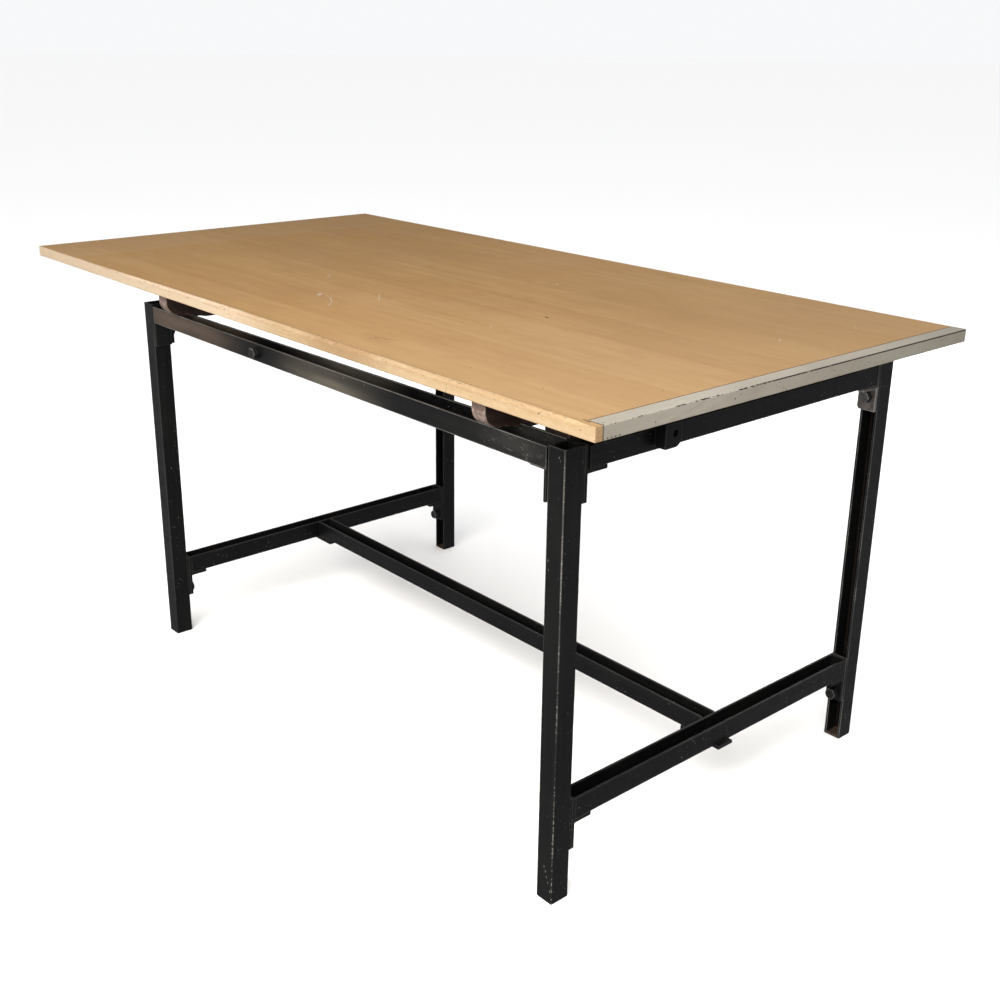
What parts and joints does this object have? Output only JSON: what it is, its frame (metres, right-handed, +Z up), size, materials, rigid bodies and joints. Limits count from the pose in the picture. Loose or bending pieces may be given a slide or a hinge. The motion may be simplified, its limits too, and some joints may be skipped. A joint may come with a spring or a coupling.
{
  "type": "work table",
  "caption": "Long wooden drawing board with one steel-capped end, resting on a low-braced bolted frame of black steel channel.",
  "frame": {"origin": "on the floor under the middle of the board", "axes": "+X along the board towards its steel-edged end, +Z up, -Y the side where a person sits"},
  "size_m": [1.73, 0.88, 0.8],
  "materials": {
    "board_veneer": "worn, waxed plywood face with fine straight grain along the board",
    "board_edging": "pale solid wood, worn, with dirt in the grain",
    "edge_strip_paint": "aged cream paint on steel, chipped at the arris",
    "dark_wood": "dark red-brown stained wood, dull",
    "frame_paint": "black semi-gloss brushed paint on steel channel, worn bright at the edges",
    "bare_steel": "bare steel with light rust",
    "bolts": "blackened steel, worn bright on the heads",
    "nuts": "dull zinc plate"
  },
  "bodies": {
    "root": {"batten_left": "dark_wood", "batten_right": "dark_wood", "bearer_left": "dark_wood", "bearer_right": "dark_wood", "board_panel": "board_veneer", "edge_strip": "edge_strip_paint", "end_bracket_back_left": "frame_paint", "end_bracket_back_right": "frame_paint", "end_bracket_front_left": "frame_paint", "end_bracket_front_right": "frame_paint", "foot_plate_back_left": "bare_steel", "foot_plate_back_right": "bare_steel", "foot_plate_front_left": "bare_steel", "foot_plate_front_right": "bare_steel", "leg_back_left": "frame_paint", "leg_back_right": "frame_paint", "leg_front_left": "frame_paint", "leg_front_right": "frame_paint", "lipping_back": "board_edging", "lipping_front": "board_edging", "lipping_left": "board_edging", "rail_back": "frame_paint", "rail_bolt_back_left": "bolts", "rail_bolt_back_right": "bolts", "rail_bolt_front_left": "bolts", "rail_bolt_front_right": "bolts", "rail_bracket_back_left": "frame_paint", "rail_bracket_back_right": "frame_paint", "rail_bracket_front_left": "frame_paint", "rail_bracket_front_right": "frame_paint", "rail_front": "frame_paint", "rail_left": "frame_paint", "rail_lug": "frame_paint", "rail_nut_back_left": "nuts", "rail_nut_back_right": "nuts", "rail_nut_front_left": "nuts", "rail_nut_front_right": "nuts", "rail_right": "frame_paint", "stop_bolt": "bolts", "stop_bolt_nut": "nuts", "stretcher_bolt_back_left": "bolts", "stretcher_bolt_back_right": "bolts", "stretcher_bolt_front_left": "bolts", "stretcher_bolt_front_right": "bolts", "stretcher_bracket_back_left": "frame_paint", "stretcher_bracket_back_right": "frame_paint", "stretcher_bracket_front_left": "frame_paint", "stretcher_bracket_front_right": "frame_paint", "stretcher_left": "frame_paint", "stretcher_long": "frame_paint", "stretcher_nut_back_left": "nuts", "stretcher_nut_back_right": "nuts", "stretcher_nut_front_left": "nuts", "stretcher_nut_front_right": "nuts", "stretcher_right": "frame_paint", "tee_bolt_left": "bolts", "tee_bolt_right": "bolts", "tee_plate_left": "frame_paint", "tee_plate_right": "frame_paint"}
  },
  "joints": []
}
